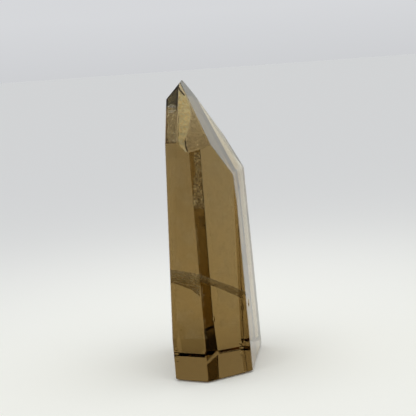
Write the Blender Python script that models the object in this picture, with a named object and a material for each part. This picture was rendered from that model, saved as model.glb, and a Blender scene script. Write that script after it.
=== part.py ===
"""Polished smoky quartz point: a six-sided crystal column, ground flat by flat, with a steep faceted tip.

Metres, +Z up. The stone stands on its flat base and the origin is in the middle of the base.
The front edge of the column faces -Y, the two broad sides face +X and -X.
"""

import math

import bmesh
import bpy
from mathutils import Vector

MM = 0.001

# The rough stone that the flats are ground from.
ROUGH_WIDTH = 40 * MM
ROUGH_DEPTH = 76 * MM
ROUGH_HEIGHT = 100 * MM

# The point that the tip facets are ground towards, about 95 mm above the base.
TIP = Vector((-6.12, 0.51, 95.4)) * MM

# Column flats: azimuth of the outward normal (degrees anticlockwise from +X), lean back from upright
# (degrees), and distance of the flat from the middle of the base (mm). The two broad sides are each
# ground in a lower and an upper flat, which makes them very slightly crowned.
COLUMN_FLATS = {
    "front left": (-119.55, 1.5, 27.9),
    "front right": (-55.72, 2.23, 21.86),
    "right, lower": (-7.34, 1.63, 12.59),
    "right, upper": (-8.17, 4.1, 15.18),
    "back right": (59.19, 2.95, 22.75),
    "back left": (114.34, 6.35, 28.33),
    "left, lower": (177.96, -1.05, 13.84),
    "left, upper": (178.0, 2.07, 14.55),
}

# Tip facets: azimuth, slope from level (degrees), and how far outside the tip the facet passes (mm).
TIP_FACETS = {
    "over front left": (-120.5, 46.4, 3.43),
    "over front right": (-68.3, 46.9, 3.17),
    "over right": (-10.0, 60.9, 0.0),
    "over right, outer": (-3.8, 61.2, 0.43),
    "over back right": (36.0, 44.5, 0.0),
    "over left": (180.3, 47.0, 0.0),
}

# The rim of the base: under each side a narrow shallow flat, ground from this height up the side to
# about twice as far in under the foot, so that the sawn edge doesn't chip.
RIM_HEIGHT = 0.65
RIM_SLOPE = 153.0

# Softened edges. Where two flats of one side meet at under the limit angle, the crease is left alone.
EDGE_CHAMFER = 0.22 * MM
CHAMFER_SEGMENTS = 2
CREASE_LIMIT = math.radians(8)

# Smoky quartz: pale brown in thin pieces, nearly black through the whole stone.
SMOKE_COLOUR = (0.42, 0.27, 0.10, 1.0)
SMOKE_DENSITY = 38.0
QUARTZ_IOR = 1.544


def clear_scene():
    for existing in list(bpy.data.objects):
        bpy.data.objects.remove(existing, do_unlink=True)


def rough_block():
    """A closed block standing on z = 0, larger than the finished stone on every other side."""
    stone = bmesh.new()
    bmesh.ops.create_cube(stone, size=1.0)
    bmesh.ops.scale(stone, vec=(ROUGH_WIDTH, ROUGH_DEPTH, ROUGH_HEIGHT), verts=stone.verts)
    bmesh.ops.translate(stone, vec=(0.0, 0.0, ROUGH_HEIGHT / 2), verts=stone.verts)
    return stone


def outward(azimuth, slope):
    """Unit normal of a flat: slope 0 faces straight up, slope 90 is upright."""
    turn = math.radians(azimuth)
    tilt = math.radians(slope)
    return Vector((math.sin(tilt) * math.cos(turn), math.sin(tilt) * math.sin(turn), math.cos(tilt)))


def grind(stone, normal, point):
    """Takes off everything proud of one flat and closes the stone across it."""
    whole = stone.verts[:] + stone.edges[:] + stone.faces[:]
    cut = bmesh.ops.bisect_plane(
        stone, geom=whole, dist=1e-7, plane_co=point, plane_no=normal, clear_outer=True
    )
    rim = [part for part in cut["geom_cut"] if isinstance(part, bmesh.types.BMEdge)]
    if rim:
        bmesh.ops.edgeloop_fill(stone, edges=rim)


def grind_rim(stone, azimuth, lean, reach):
    """Grinds the shallow flat that runs along the foot of one side."""
    lean = math.radians(lean)
    run = (reach - math.sin(lean) * RIM_HEIGHT) / math.cos(lean)
    start = outward(azimuth, 90.0) * run + Vector((0.0, 0.0, RIM_HEIGHT))
    grind(stone, outward(azimuth, RIM_SLOPE), start * MM)


def smoky_quartz():
    material = bpy.data.materials.new("smoky_quartz")
    material.use_nodes = True
    nodes = material.node_tree.nodes
    surface = nodes["Principled BSDF"]
    surface.inputs["Base Color"].default_value = (1.0, 1.0, 1.0, 1.0)
    surface.inputs["Roughness"].default_value = 0.0
    surface.inputs["IOR"].default_value = QUARTZ_IOR
    surface.inputs["Transmission Weight"].default_value = 1.0
    smoke = nodes.new("ShaderNodeVolumeAbsorption")
    smoke.location = (10, -350)
    smoke.inputs["Color"].default_value = SMOKE_COLOUR
    smoke.inputs["Density"].default_value = SMOKE_DENSITY
    output = nodes["Material Output"]
    material.node_tree.links.new(smoke.outputs["Volume"], output.inputs["Volume"])
    return material


def quartz_point():
    stone = rough_block()
    for azimuth, lean, reach in COLUMN_FLATS.values():
        normal = outward(azimuth, 90.0 - lean)
        grind(stone, normal, normal * reach * MM)
    for side, flat in COLUMN_FLATS.items():
        if not side.endswith("upper"):
            grind_rim(stone, *flat)
    for azimuth, slope, clearance in TIP_FACETS.values():
        normal = outward(azimuth, slope)
        grind(stone, normal, TIP + normal * clearance * MM)
    bmesh.ops.remove_doubles(stone, verts=stone.verts, dist=0.02 * MM)
    bmesh.ops.recalc_face_normals(stone, faces=stone.faces)

    mesh = bpy.data.meshes.new("smoky_quartz_point")
    stone.to_mesh(mesh)
    stone.free()
    point = bpy.data.objects.new("smoky_quartz_point", mesh)
    bpy.context.scene.collection.objects.link(point)

    chamfer = point.modifiers.new("softened edges", "BEVEL")
    chamfer.limit_method = "ANGLE"
    chamfer.angle_limit = CREASE_LIMIT
    chamfer.width = EDGE_CHAMFER
    chamfer.segments = CHAMFER_SEGMENTS
    chamfer.use_clamp_overlap = True
    return point


clear_scene()
crystal = quartz_point()
crystal.data.materials.append(smoky_quartz())
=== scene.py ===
import math
import random

import bmesh
import bpy
from mathutils import Matrix, Vector


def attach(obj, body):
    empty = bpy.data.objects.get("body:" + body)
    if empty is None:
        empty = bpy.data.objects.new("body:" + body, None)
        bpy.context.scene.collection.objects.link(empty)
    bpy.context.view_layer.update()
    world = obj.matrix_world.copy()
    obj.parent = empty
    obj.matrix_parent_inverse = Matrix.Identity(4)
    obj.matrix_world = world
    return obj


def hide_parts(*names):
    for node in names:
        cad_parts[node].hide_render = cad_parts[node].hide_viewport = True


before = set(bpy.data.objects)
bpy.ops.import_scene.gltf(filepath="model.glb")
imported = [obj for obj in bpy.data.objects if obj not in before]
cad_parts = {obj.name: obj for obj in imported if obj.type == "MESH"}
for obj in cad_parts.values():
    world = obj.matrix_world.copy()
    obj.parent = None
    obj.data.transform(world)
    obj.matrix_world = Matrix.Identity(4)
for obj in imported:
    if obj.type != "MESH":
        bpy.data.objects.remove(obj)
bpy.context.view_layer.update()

MM = 0.001


# --- Camera ---------------------------------------------------------------------------------------
# A long lens a little above the tip, looking slightly down at the middle of the stone. The camera
# is rolled a few degrees, so the point leans to the left in the frame.
FOCAL_PIXELS = 1200.0
FRAME_PIXELS = 416.0
SENSOR_MM = 36.0
CAMERA_PLACE = (-0.000575, -0.39925, 0.09907)
CAMERA_PITCH = math.radians(6.707)
CAMERA_ROLL = math.radians(4.093)

lens = bpy.data.cameras.new("camera")
lens.sensor_width = SENSOR_MM
lens.lens = SENSOR_MM * FOCAL_PIXELS / FRAME_PIXELS
lens.clip_start = 0.01
camera = bpy.data.objects.new("camera", lens)
bpy.context.scene.collection.objects.link(camera)
pitched = Matrix.Rotation(math.radians(90.0) - CAMERA_PITCH, 4, "X")
rolled = Matrix.Rotation(-CAMERA_ROLL, 4, "Z")
camera.matrix_world = Matrix.Translation(CAMERA_PLACE) @ pitched @ rolled
bpy.context.scene.camera = camera


# --- The quartz point -----------------------------------------------------------------------------
# One natural crystal of smoky quartz, sawn off square at the foot. Every flat is ground and then
# polished to a clear gloss, and the brown is the stone's own colour all the way through. Handling has
# struck a few tiny shell-shaped chips from its sides and edges.
QUARTZ_IOR = 1.544
SMOKE = "#C7AE4E"
SMOKE_PER_METRE = 58.0
POLISH_WAVE = 4.0 * MM
POLISH_DEPTH = 0.0016 * MM
RUBBED_PATCH = 2.2 * MM

MERGE_DISTANCE = 0.001 * MM
ONE_FLAT_LIMIT = math.radians(0.2)

# Chips: middle of the struck ball, and its half sizes across, along and up the stone (mm).
CHIPS = (
    ((10.6, -12.3, 21.35), (0.9, 1.9, 1.2)),
    ((13.4, 15.2, 58.2), (0.8, 1.5, 1.0)),
    ((-13.6, 24.2, 12.0), (1.0, 1.0, 1.4)),
    ((-4.4, 29.5, 2.0), (1.2, 0.9, 1.0)),
)


def linear(hex_colour):
    """sRGB hex to the linear values that shaders take."""
    parts = [int(hex_colour[i:i + 2], 16) / 255 for i in (1, 3, 5)]
    return tuple(p / 12.92 if p <= 0.04045 else ((p + 0.055) / 1.055) ** 2.4 for p in parts) + (1.0,)


def node(tree, kind, links=None, **settings):
    """Adds a node. Settings name its properties or its inputs, and links give what feeds an input."""
    added = tree.nodes.new(kind)
    for key, value in settings.items():
        name = key.replace("_", " ")
        found = [s for s in added.inputs if s.name.lower() == name]
        if found:
            found[0].default_value = value
        else:
            setattr(added, key, value)
    for name, source in (links or {}).items():
        tree.links.new(source, added.inputs[name])
    return added


def material(name):
    """A new material and its node tree, which starts empty."""
    made = bpy.data.materials.new(name)
    made.use_nodes = True
    made.node_tree.nodes.clear()
    return made, made.node_tree


def grain(tree, size, detail):
    """Cloudy noise whose spots are about this size."""
    place = node(tree, "ShaderNodeTexCoord")
    return node(
        tree, "ShaderNodeTexNoise", {"Vector": place.outputs["Object"]}, scale=1.0 / size, detail=detail,
    ).outputs["Fac"]


def spread(tree, source, low, high, to_low, to_high):
    """Stretches a value from one range to another and holds it there at both ends."""
    return node(
        tree, "ShaderNodeMapRange", {"Value": source},
        from_min=low, from_max=high, to_min=to_low, to_max=to_high,
    ).outputs[0]


def solid(name, shape, surface):
    """A new object of this shape and this one material."""
    mesh = bpy.data.meshes.new(name)
    shape.to_mesh(mesh)
    shape.free()
    mesh.materials.append(surface)
    made = bpy.data.objects.new(name, mesh)
    bpy.context.scene.collection.objects.link(made)
    return made


# Clear glossy stone that the light goes through: the reflections are sharp, with a very slight
# waviness left by the polishing wheel, and the smoke deepens with the length of the way through.
polished, tree = material("polished_smoky_quartz")
smoke = node(tree, "ShaderNodeVolumeAbsorption", color=linear(SMOKE), density=SMOKE_PER_METRE)
wave = node(
    tree, "ShaderNodeBump", {"Height": grain(tree, POLISH_WAVE, 1.0)}, strength=1.0, distance=POLISH_DEPTH,
)
rubbed = spread(tree, grain(tree, RUBBED_PATCH, 6.0), 0.45, 0.75, 0.0, 0.02)
gloss = node(
    tree, "ShaderNodeBsdfPrincipled", {"Normal": wave.outputs[0], "Roughness": rubbed},
    base_color=(1.0, 1.0, 1.0, 1.0), ior=QUARTZ_IOR, transmission_weight=1.0,
)
node(tree, "ShaderNodeOutputMaterial", {"Surface": gloss.outputs[0], "Volume": smoke.outputs[0]})

ground_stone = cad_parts["smoky_quartz_point"].data
shape = bmesh.new()
shape.from_mesh(ground_stone)
bmesh.ops.remove_doubles(shape, verts=shape.verts, dist=MERGE_DISTANCE)
bmesh.ops.dissolve_limit(shape, angle_limit=ONE_FLAT_LIMIT, verts=shape.verts, edges=shape.edges)
point = solid("quartz_point", shape, polished)

shape = bmesh.new()
for middle, half_size in CHIPS:
    ball = bmesh.ops.create_icosphere(shape, subdivisions=4, radius=1.0)["verts"]
    bmesh.ops.scale(shape, vec=Vector(half_size) * MM, verts=ball)
    bmesh.ops.translate(shape, vec=Vector(middle) * MM, verts=ball)
for face in shape.faces:
    face.smooth = True
struck = solid("struck", shape, polished)
cut = point.modifiers.new("chips", "BOOLEAN")
cut.operation = "DIFFERENCE"
cut.solver = "EXACT"
cut.object = struck
chipped = bpy.data.meshes.new_from_object(point.evaluated_get(bpy.context.evaluated_depsgraph_get()))
point.modifiers.clear()
point.data = chipped
bpy.data.objects.remove(struck)
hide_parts("smoky_quartz_point")
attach(point, "root")


# --- Healed fracture ------------------------------------------------------------------------------
# A crack that slants back and down through the lower third of the stone and has grown shut again.
# It is a sheet of tiny bubbles inside the quartz, grey where it is crowded and nearly clear elsewhere.
FILM_THICKNESS = 0.05 * MM
RAGGED_STEP = 0.8 * MM
DUST_IOR = 1.5

# Slant: azimuth of the line square to the crack, and its slope from straight up (degrees). Reach: how
# far the crack's level is from the middle of the base. Outline: points on that level, across and up
# (mm).
FRACTURE_SLANT = (44.2, 26.3)
FRACTURE_REACH = 21.0 * MM
FRACTURE_OUTLINE = (
    (-6.3, 38.6), (-9.5, 38.1), (-13.7, 36.9), (-16.3, 35.8), (-16.9, 33.5), (-17.2, 31.4), (-18.1, 26.4),
    (-19.1, 20.4), (-19.6, 17.5), (-13.2, 12.8), (-7.1, 10.1), (-1.3, 5.7), (-0.5, 7.5), (-1.3, 11.2),
    (-1.9, 15.2), (-1.9, 18.4), (-1.3, 20.5), (-0.1, 22.1), (2.6, 24.5), (3.7, 27.1),
)


def outward(azimuth, slope):
    """Unit line square to a flat: slope 0 points straight up, and slope 90 is level."""
    turn = math.radians(azimuth)
    tilt = math.radians(slope)
    return Vector((math.sin(tilt) * math.cos(turn), math.sin(tilt) * math.sin(turn), math.cos(tilt)))


def level(slant, reach):
    """Puts (across, up, out) in its place in the stone, on the level with this slant and reach (m)."""
    out = outward(*slant)
    across = Vector((0.0, 0.0, 1.0)).cross(out).normalized()
    placed = Matrix((across, out.cross(across), out)).transposed().to_4x4()
    placed.translation = out * reach
    return placed


def tones(tree, source, stops):
    """Turns a value into a colour by stops, each a value from 0 to 1 and the colour there."""
    ramp = node(tree, "ShaderNodeValToRGB", {"Fac": source})
    for number, (at, colour) in enumerate(stops):
        if 0 < number < len(stops) - 1:
            ramp.color_ramp.elements.new(at)
        ramp.color_ramp.elements[number].position = at
        ramp.color_ramp.elements[number].color = linear(colour)
    return ramp.outputs[0]


def film(name, spots, cover, grains, colours, roughness, specular):
    """Material of a speckled film.

    spots: size of its thicker spots (mm), and the noise values where they begin and where they are full.
    cover: the shares of what is behind it that it hides between the spots and in them.
    grains: size of its grains (mm), and the noise values of its first and its second colour.
    """
    made, tree = material(name)
    hiding = spread(tree, grain(tree, spots[0] * MM, 4.0), *spots[1:], *cover)
    speckle = tones(tree, grain(tree, grains[0] * MM, 3.0), list(zip(grains[1:], colours)))
    dust = node(
        tree, "ShaderNodeBsdfPrincipled", {"Base Color": speckle, "Alpha": hiding},
        roughness=roughness, ior=DUST_IOR, specular_ior_level=specular,
    )
    node(tree, "ShaderNodeOutputMaterial", {"Surface": dust.outputs[0]})
    return made


def sheet(name, placed, outline, surface, wander, seed):
    """Thin closed plate on a level, with an edge that wanders (mm) between these points (mm)."""
    chance = random.Random(seed)
    out = Vector((0.0, 0.0, 1.0))
    corners = [Vector((*corner, 0.0)) * MM for corner in outline]
    shape = bmesh.new()
    edge = []
    for start, end in zip(corners, corners[1:] + corners[:1]):
        steps = max(1, round((end - start).length / RAGGED_STEP))
        along = (end - start).normalized()
        for step in range(steps):
            shift = chance.uniform(-wander, wander) * MM if step else 0.0
            edge.append(shape.verts.new(start.lerp(end, step / steps) + along.cross(out) * shift))
    grown = bmesh.ops.extrude_face_region(shape, geom=[shape.faces.new(edge)])
    moved = [part for part in grown["geom"] if isinstance(part, bmesh.types.BMVert)]
    bmesh.ops.translate(shape, vec=out * FILM_THICKNESS, verts=moved)
    bmesh.ops.recalc_face_normals(shape, faces=shape.faces)
    bmesh.ops.transform(shape, matrix=placed, verts=shape.verts)
    made = solid(name, shape, surface)
    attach(made, "root")


# Crowds of bubbles too small to see one by one: a dull brownish grey that hides what is behind it,
# broken by clearer spots and by brighter flecks about a millimetre across.
bubbles = film(
    "crowded_bubbles", spots=(1.6, 0.35, 0.62), cover=(0.28, 0.62), grains=(0.7, 0.40, 0.66),
    colours=("#A08C68", "#E6D3A9"), roughness=0.7, specular=0.1,
)
sheet(
    "healed_fracture", level(FRACTURE_SLANT, FRACTURE_REACH), FRACTURE_OUTLINE, bubbles, wander=0.25, seed=3,
)


# --- Tip flaw -------------------------------------------------------------------------------------
# An open crack just under the front right tip facet. The light that the air in it throws back is a painted
# reflection: a pale straw-yellow film seen through the stone, mottled where the two sides of the crack touch.
TIP_RIGHT = (-68.3, 46.9)
TIP_FLAW_DEPTH = 0.7
TIP_FLAW_OUTLINE = (
    (-9.7, 63.6), (-9.0, 64.8), (-8.6, 63.9), (-8.1, 62.1), (-8.0, 60.3), (-8.2, 56.9), (-8.9, 53.4),
    (-11.0, 49.4), (-13.0, 45.7), (-14.4, 42.5), (-14.8, 40.7), (-15.1, 38.2), (-15.8, 40.0), (-16.7, 42.4),
)


def under(slant, depth):
    """The level this deep (mm) under the flat of the stone that has this slant."""
    reach = max(outward(*slant).dot(corner.co) for corner in ground_stone.vertices)
    return level(slant, reach - depth * MM)


# Painted reflection of the crack: a straw-coloured shine in drawn-out spots, with painted paler glints among
# them.
straw = film(
    "painted_crack_reflection", spots=(1.5, 0.36, 0.66), cover=(0.42, 0.78), grains=(0.6, 0.36, 0.62),
    colours=("#F0CF80", "#FFF3C0"), roughness=0.5, specular=0.3,
)
sheet("tip_flaw", under(TIP_RIGHT, TIP_FLAW_DEPTH), TIP_FLAW_OUTLINE, straw, wander=0.12, seed=5)


# --- Tip cracks -----------------------------------------------------------------------------------
# Hairline cracks that run in from the surface around the tip and the shoulder below it. Iron-brown
# dirt has crept into them, so each shows as a short dark line just under the polish.
TIP_LEFT = (-120.5, 46.4)
CRACK_DEPTH = 0.45
CRACKS = (
    (TIP_RIGHT, ((-9.1, 65.8), (-8.9, 64.3), (-8.2, 62.1), (-8.6, 61.7), (-9.3, 63.5), (-9.5, 64.9))),
    (TIP_LEFT, ((-3.2, 60.6), (-1.4, 55.5), (0.0, 51.2), (-0.5, 51.2), (-2.0, 55.5), (-3.4, 60.3))),
    (TIP_RIGHT, ((-13.9, 43.7), (-14.5, 40.8), (-14.6, 38.4), (-15.1, 38.5), (-15.0, 40.4), (-14.5, 42.9))),
)

# Dark brown dirt, thin enough in places to let a little light by.
dirt = film(
    "crack_dirt", spots=(0.8, 0.35, 0.60), cover=(0.45, 0.90), grains=(0.5, 0.0, 1.0),
    colours=("#1E160A", "#5A4320"), roughness=0.9, specular=0.0,
)
for number, (facet, outline) in enumerate(CRACKS, 1):
    sheet(
        f"tip_crack_{number}", under(facet, CRACK_DEPTH), outline, dirt, wander=0.04, seed=30 + number,
    )


# --- Crushed spots --------------------------------------------------------------------------------
# Patches up to about a millimetre below the polish. Along the front edge they are grit and dust of finely
# crushed stone, left by the blows that the rough crystal took. Under the front left tip facet, pale films are
# painted light and nearly white specks are painted glints. Under the front right one, a thin brown haze is
# painted shade.
FRONT_RIGHT = (-55.72, 87.77)


def crushed_stone_and_painted_light(name, size, cover, colours):
    """Speckled film whose spots are about this size (mm), and whose grains are a bit larger: crushed stone in
    some spots, painted light and shade in others.
    """
    return film(
        name, spots=(size, 0.40, 0.64), cover=cover, grains=(size * 1.4, 0.42, 0.60), colours=colours,
        roughness=0.6, specular=0.2,
    )


# Quartz broken fine: a sharp speckle of dark and pale grit. Painted light of two strengths: pale films that
# dull the brown a little. Brown dust, which darkens it, and which under the front right tip facet is painted
# shade. Painted glints: nearly white specks.
grit = crushed_stone_and_painted_light("crushed_speckle", 0.34, (0.06, 0.68), ("#3A2A0E", "#FFE7AE"))
thin_painted_light = crushed_stone_and_painted_light("thin_painted_light", 0.55, (0.05, 0.22), ("#A08C50", "#E6D49A"))
straw_painted_light = crushed_stone_and_painted_light("straw_painted_light", 0.55, (0.12, 0.36), ("#D0B97C", "#FFF0C4"))
brown_dust_and_painted_shade = crushed_stone_and_painted_light("brown_dust_and_painted_shade", 0.90, (0.10, 0.26), ("#2C1D08", "#75592A"))
painted_glints = crushed_stone_and_painted_light("painted_glint_specks", 0.40, (0.12, 0.80), ("#A89A78", "#FFFAEC"))

# Each spot: its name, flat, depth (mm), material, seed and outline (across and up the flat, mm).
SPOTS = (
    ("edge_spot", FRONT_RIGHT, 0.9, grit, 11, (
        (-17.2, 72.0), (-14.9, 71.9), (-14.9, 66.2), (-15.1, 59.9), (-15.2, 54.2), (-19.0, 54.6),
        (-18.7, 61.0), (-17.6, 65.9), (-17.4, 69.6),
    )),
    ("low_spot", FRONT_RIGHT, 0.9, brown_dust_and_painted_shade, 12, (
        (-17.7, 52.1), (-15.7, 51.8), (-15.5, 47.8), (-17.6, 47.9),
    )),
    # Painted light: pale films that brighten what the front left tip facet shows.
    ("upper_painted_light_spot", TIP_LEFT, 0.6, thin_painted_light, 13, (
        (-3.2, 60.9), (-4.4, 58.7), (-5.5, 56.1), (-4.5, 52.9), (-0.6, 52.6), (-2.7, 59.0),
    )),
    ("lower_painted_light_spot", TIP_LEFT, 0.7, straw_painted_light, 18, (
        (-4.4, 52.6), (1.0, 38.1), (4.7, 38.0), (-0.5, 52.4),
    )),
    # Painted shade: a thin brown haze that darkens what the front right tip facet shows.
    ("painted_shade_haze", TIP_RIGHT, 1.2, brown_dust_and_painted_shade, 19, (
        (-7.7, 59.8), (-7.4, 52.5), (-7.3, 46.4), (-6.4, 40.8), (-9.3, 39.9), (-14.0, 38.9), (-14.4, 39.4),
        (-14.0, 42.7), (-12.4, 45.9), (-10.4, 49.5), (-8.4, 53.5), (-7.8, 57.1),
    )),
    # Painted glints: nearly white specks on the front left tip facet.
    ("upper_painted_glints", TIP_LEFT, 0.5, painted_glints, 14, (
        (-4.3, 53.1), (-3.6, 53.7), (-1.1, 53.4), (-0.7, 52.4), (-2.3, 52.2), (-3.8, 52.1),
    )),
    ("lower_painted_glints", TIP_LEFT, 0.5, painted_glints, 15, (
        (-3.4, 51.4), (-1.7, 51.5), (-0.7, 51.8), (-0.5, 50.8), (-1.5, 50.0), (-2.7, 50.0),
    )),
)
for name, flat, depth, surface, seed, outline in SPOTS:
    sheet(name, under(flat, depth), outline, surface, wander=0.25, seed=seed)


# --- Faint veils ----------------------------------------------------------------------------------
# Two clouds of very fine bubbles below the front flats. They are almost clear, and only take the
# evenness off the brown.
FRONT_LEFT = (-119.55, 88.5)
VEIL_DEPTH = 3.0
LEFT_VEIL_OUTLINE = (
    (1.0, 70.7), (6.3, 70.5), (7.4, 57.2), (7.9, 38.2), (8.8, 12.8), (-0.5, 13.0), (-0.6, 38.2), (-0.3, 57.4),
)
RIGHT_VEIL_OUTLINE = (
    (-12.7, 69.8), (-6.1, 68.6), (-3.4, 58.6), (-4.1, 39.3), (-5.6, 11.8), (-12.3, 12.0), (-13.0, 37.3),
    (-12.7, 56.5),
)

# Straw-white haze, thickest in soft streaks some five millimetres apart.
haze = film(
    "bubble_haze", spots=(5.0, 0.42, 0.64), cover=(0.0, 0.12), grains=(1.0, 0.40, 0.60),
    colours=("#DCC898", "#E8D6B0"), roughness=0.8, specular=0.0,
)
sheet("left_veil", under(FRONT_LEFT, VEIL_DEPTH), LEFT_VEIL_OUTLINE, haze, wander=0.3, seed=16)
sheet("right_veil", under(FRONT_RIGHT, VEIL_DEPTH), RIGHT_VEIL_OUTLINE, haze, wander=0.3, seed=17)


# --- Pinpoint inclusions --------------------------------------------------------------------------
# Single crystals and bubbles caught in the quartz as it grew, none as big as half a millimetre: some
# a little way under the flats in front (across and up, mm), and a few deep inside (mm).
PINPOINT_RADIUS = 0.16 * MM
PINPOINT_DEPTH = 1.2
PINPOINTS = {
    FRONT_LEFT: ((7.7, 71.5), (3.2, 66.6), (7.2, 61.8), (4.4, 47.3), (1.5, 42.8), (5.9, 22.1), (1.5, 15.8)),
    FRONT_RIGHT: (
        (-12.6, 61.9), (-16.5, 59.2), (-15.9, 55.9), (-3.6, 53.4), (-10.7, 49.5), (-7.2, 39.1), (-18.3, 27.0),
        (-12.3, 18.6), (-4.2, 16.8),
    ),
    TIP_RIGHT: ((-10.5, 41.1), (-16.1, 41.0)),
}
DEEP_PINPOINTS = (
    (3.0, 8.0, 30.0), (-4.0, 14.0, 55.0), (6.0, 16.0, 18.0), (-2.0, 4.0, 68.0), (5.0, -4.0, 44.0),
)

# Milky grains, each a little different in tone.
milky, tree = material("milky_grain")
tone = tones(tree, grain(tree, 3.0 * MM, 2.0), [(0.40, "#9C8A63"), (0.62, "#F2E8CF")])
milk = node(tree, "ShaderNodeBsdfPrincipled", {"Base Color": tone}, roughness=0.5, ior=DUST_IOR)
node(tree, "ShaderNodeOutputMaterial", {"Surface": milk.outputs[0]})

places = [Vector(place) * MM for place in DEEP_PINPOINTS]
for flat, spots in PINPOINTS.items():
    places += [under(flat, PINPOINT_DEPTH) @ (Vector((*spot, 0.0)) * MM) for spot in spots]

chance = random.Random(21)
shape = bmesh.new()
for place in places:
    radius = PINPOINT_RADIUS * chance.uniform(0.5, 1.2)
    dot = bmesh.ops.create_icosphere(shape, subdivisions=2, radius=radius)["verts"]
    bmesh.ops.scale(shape, vec=[chance.uniform(0.6, 1.3) for _ in range(3)], verts=dot)
    bmesh.ops.translate(shape, vec=place, verts=dot)
pinpoints = solid("pinpoints", shape, milky)
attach(pinpoints, "root")


# --- Table and light ------------------------------------------------------------------------------
# A plain pale table top in even pale surroundings, under a soft overhead lamp and a weaker one behind
# the stone. As is usual for polished stones and glass, cards round the table give the flats something
# to reflect and to show through the stone.
TABLE_HALF_SIZE = 60.0
PALE_TABLE = "#FAFAF8"

# The top lies a hair below the stone's foot, and the cards that lie on it are between the two.
TABLE_LEVEL = -0.05 * MM
GLOSSY_CARD_LEVEL = -0.03 * MM
CLEAR_CARD_LEVEL = -0.02 * MM

# The surroundings brighten a touch from the horizon up. The rise is a share of the way to overhead.
SURROUNDINGS = (0.975, 0.99, 1.02, 1.0)
HORIZON_STRENGTH = 0.635
UPPER_STRENGTH = 0.69
HORIZON_RISE = 0.045


def stage_object(name, shape, surface):
    """Something that stands round the object and isn't part of it."""
    made = solid(name, shape, surface)
    return made


def matt(name, colour):
    """Matt paint or card of one colour."""
    made, tree = material(name)
    flat = node(tree, "ShaderNodeBsdfDiffuse", color=linear(colour))
    node(tree, "ShaderNodeOutputMaterial", {"Surface": flat.outputs[0]})
    return made


shape = bmesh.new()
bmesh.ops.create_grid(shape, x_segments=1, y_segments=1, size=TABLE_HALF_SIZE)
bmesh.ops.translate(shape, vec=(0.0, 0.0, TABLE_LEVEL), verts=shape.verts)
stage_object("table_top", shape, matt("pale_table", PALE_TABLE))

world = bpy.data.worlds.new("surroundings")
world.use_nodes = True
tree = world.node_tree
tree.nodes.clear()
direction = node(tree, "ShaderNodeTexCoord")
height = node(tree, "ShaderNodeSeparateXYZ", {"Vector": direction.outputs["Generated"]})
strength = spread(tree, height.outputs["Z"], 0.0, HORIZON_RISE, HORIZON_STRENGTH, UPPER_STRENGTH)
sky = node(tree, "ShaderNodeBackground", {"Strength": strength}, color=SURROUNDINGS)
node(tree, "ShaderNodeOutputWorld", {"Surface": sky.outputs[0]})
bpy.context.scene.world = world


def lamp(name, side, place, brightness, colour):
    """Soft square lamp that looks straight down and isn't seen in the stone's outer reflections."""
    light = bpy.data.lights.new(name, "AREA")
    light.shape = "SQUARE"
    light.size = side
    light.energy = brightness * math.pi * side ** 2
    light.color = linear(colour)[:3]
    made = bpy.data.objects.new(name, light)
    bpy.context.scene.collection.objects.link(made)
    made.location = place
    made.visible_camera = False
    made.visible_glossy = False
    return made


lamp("overhead_lamp", side=0.26, place=(0.0, -0.05, 0.29), brightness=1.2, colour="#FFFFE7")
back_lamp = lamp("back_lamp", side=0.16, place=(0.0, 0.16, 0.17), brightness=0.35, colour="#FFFFF2")
back_lamp.visible_transmission = False


def card(name, profile, start, sweep, surface, rays, centre=(0.0, 0.0)):
    """Bent card: a profile of (radius, height) points turned about an upright line, in degrees."""
    shape = bmesh.new()
    turn = Matrix.Rotation(math.radians(start), 3, "Z")
    corners = [shape.verts.new(turn @ Vector((radius, 0.0, height))) for radius, height in profile]
    edges = [shape.edges.new(pair) for pair in zip(corners, corners[1:])]
    bmesh.ops.spin(
        shape, geom=corners + edges, cent=(0.0, 0.0, 0.0), axis=(0.0, 0.0, 1.0),
        angle=math.radians(sweep), steps=32,
    )
    bmesh.ops.translate(shape, vec=(*centre, 0.0), verts=shape.verts)
    made = stage_object(name, shape, surface)
    made.visible_camera = False
    made.visible_diffuse = False
    made.visible_shadow = False
    made.visible_volume_scatter = False
    made.visible_glossy = rays == "glossy"
    made.visible_transmission = rays == "transmission"


def graded(name, upward, *stops):
    """Matt card whose tone changes with height, or else with the distance from the stone (metres)."""
    made, tree = material(name)
    place = node(tree, "ShaderNodeTexCoord").outputs["Object"]
    if upward:
        way = node(tree, "ShaderNodeSeparateXYZ", {"Vector": place}).outputs["Z"]
    else:
        way = node(tree, "ShaderNodeVectorMath", {"Vector": place}, operation="LENGTH").outputs["Value"]
    start, end = stops[0][0], stops[-1][0]
    shares = [((distance - start) / (end - start), colour) for distance, colour in stops]
    tone = tones(tree, spread(tree, way, start, end, 0.0, 1.0), shares)
    flat = node(tree, "ShaderNodeBsdfDiffuse", {"Color": tone})
    node(tree, "ShaderNodeOutputMaterial", {"Surface": flat.outputs[0]})
    return made


# Cards that only the reflections meet. A near-black one in front keeps the front flats clear, a dim
# one hangs overhead, and pale ones behind the stone give its right side a grey sheen.
FRONT_CARD_CENTRE = (0.0102, -0.0195)
FRONT_CARD_RADIUS = 0.25
FRONT_CARD_TOP = 0.26
TOP_CARD_RADIUS = 0.30
TOP_CARD_HEIGHT = 0.27
BACK_CARD_START = 0.03
BACK_CARD_RADIUS = 0.20
BACK_CARD_TOP = 0.05
HIGH_CARD_TOP = 0.22

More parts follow.
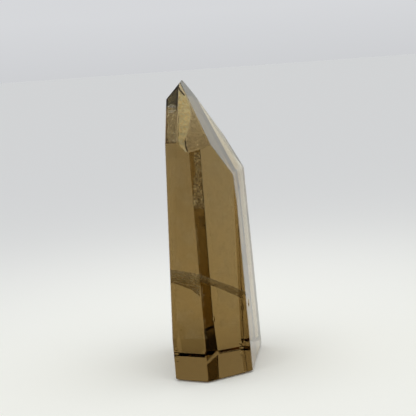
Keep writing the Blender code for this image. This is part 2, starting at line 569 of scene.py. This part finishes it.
card(
    "front_card",
    [(0.0, GLOSSY_CARD_LEVEL), (FRONT_CARD_RADIUS, GLOSSY_CARD_LEVEL), (FRONT_CARD_RADIUS, FRONT_CARD_TOP)],
    start=-172.0, sweep=164.0, surface=matt("black_card", "#191919"), rays="glossy", centre=FRONT_CARD_CENTRE,
)
card(
    "top_card", [(0.0, TOP_CARD_HEIGHT), (TOP_CARD_RADIUS, TOP_CARD_HEIGHT)],
    start=0.0, sweep=360.0, surface=matt("dim_card", "#AAAAA6"), rays="glossy",
)
card(
    "back_card",
    [
        (BACK_CARD_START, GLOSSY_CARD_LEVEL), (BACK_CARD_RADIUS, GLOSSY_CARD_LEVEL),
        (BACK_CARD_RADIUS, BACK_CARD_TOP),
    ],
    start=50.0, sweep=50.0, surface=graded("pale_card", True, (0.0, "#E7E6E2"), (0.045, "#D2D1CE")),
    rays="glossy",
)
for name, paint, colour, start, sweep in (
    ("high_card_right", "pale_wall_card", "#E6E5E1", 50.0, 28.0),
    ("high_card_left", "dim_wall_card", "#B9B8B5", 78.0, 22.0),
):
    card(
        name, [(BACK_CARD_RADIUS, BACK_CARD_TOP), (BACK_CARD_RADIUS, HIGH_CARD_TOP)],
        start=start, sweep=sweep, surface=matt(paint, colour), rays="glossy",
    )

# Cards that only the light through the stone meets: the tones of the table and of the wall beyond it that the
# front flats show, with the stone's shadow and its straw-tinted light painted on the table near the foot, and
# two flags that shade what the tip and the foot show of the table.
SIDE_FLOOR_START = 0.0135
SIDE_RADIUS = 0.25
SIDE_WALL_TOP = 0.24

# Painted shadow and painted light: the table tone is greyer near the foot, with a straw tint where light
# through the brown stone falls.
card(
    "side_floor", [(SIDE_FLOOR_START, CLEAR_CARD_LEVEL), (SIDE_RADIUS, CLEAR_CARD_LEVEL)],
    start=-50.0, sweep=92.0,
    surface=graded(
        "painted_foot_shadow_card", False,
        (0.018, "#D2C89C"), (0.035, "#CDC6A2"), (0.06, "#CECEC0"), (0.089, "#CECEC8"), (0.10, "#E2E2E0"),
        (0.16, "#E2E2E0"), (0.25, PALE_TABLE),
    ),
    rays="transmission",
)
card(
    "side_wall", [(SIDE_RADIUS, CLEAR_CARD_LEVEL), (SIDE_RADIUS, SIDE_WALL_TOP)], start=-88.0, sweep=72.0,
    surface=graded("side_wall_card", True, (0.0, "#9F9F9D"), (0.1245, "#9F9F9D"), (0.1295, "#4B4B4A")),
    rays="transmission",
)
card(
    "tip_flag", [(0.06, CLEAR_CARD_LEVEL), (0.13, CLEAR_CARD_LEVEL)], start=42.0, sweep=15.0,
    surface=matt("dark_flag", "#949492"), rays="transmission",
)
card(
    "foot_flag", [(0.026, CLEAR_CARD_LEVEL), (0.09, CLEAR_CARD_LEVEL)], start=82.0, sweep=13.0,
    surface=graded("foot_flag_card", False, (0.045, "#DCDBD6"), (0.085, "#F8F8F6")), rays="transmission",
)

bpy.context.scene.view_settings.view_transform = "Standard"
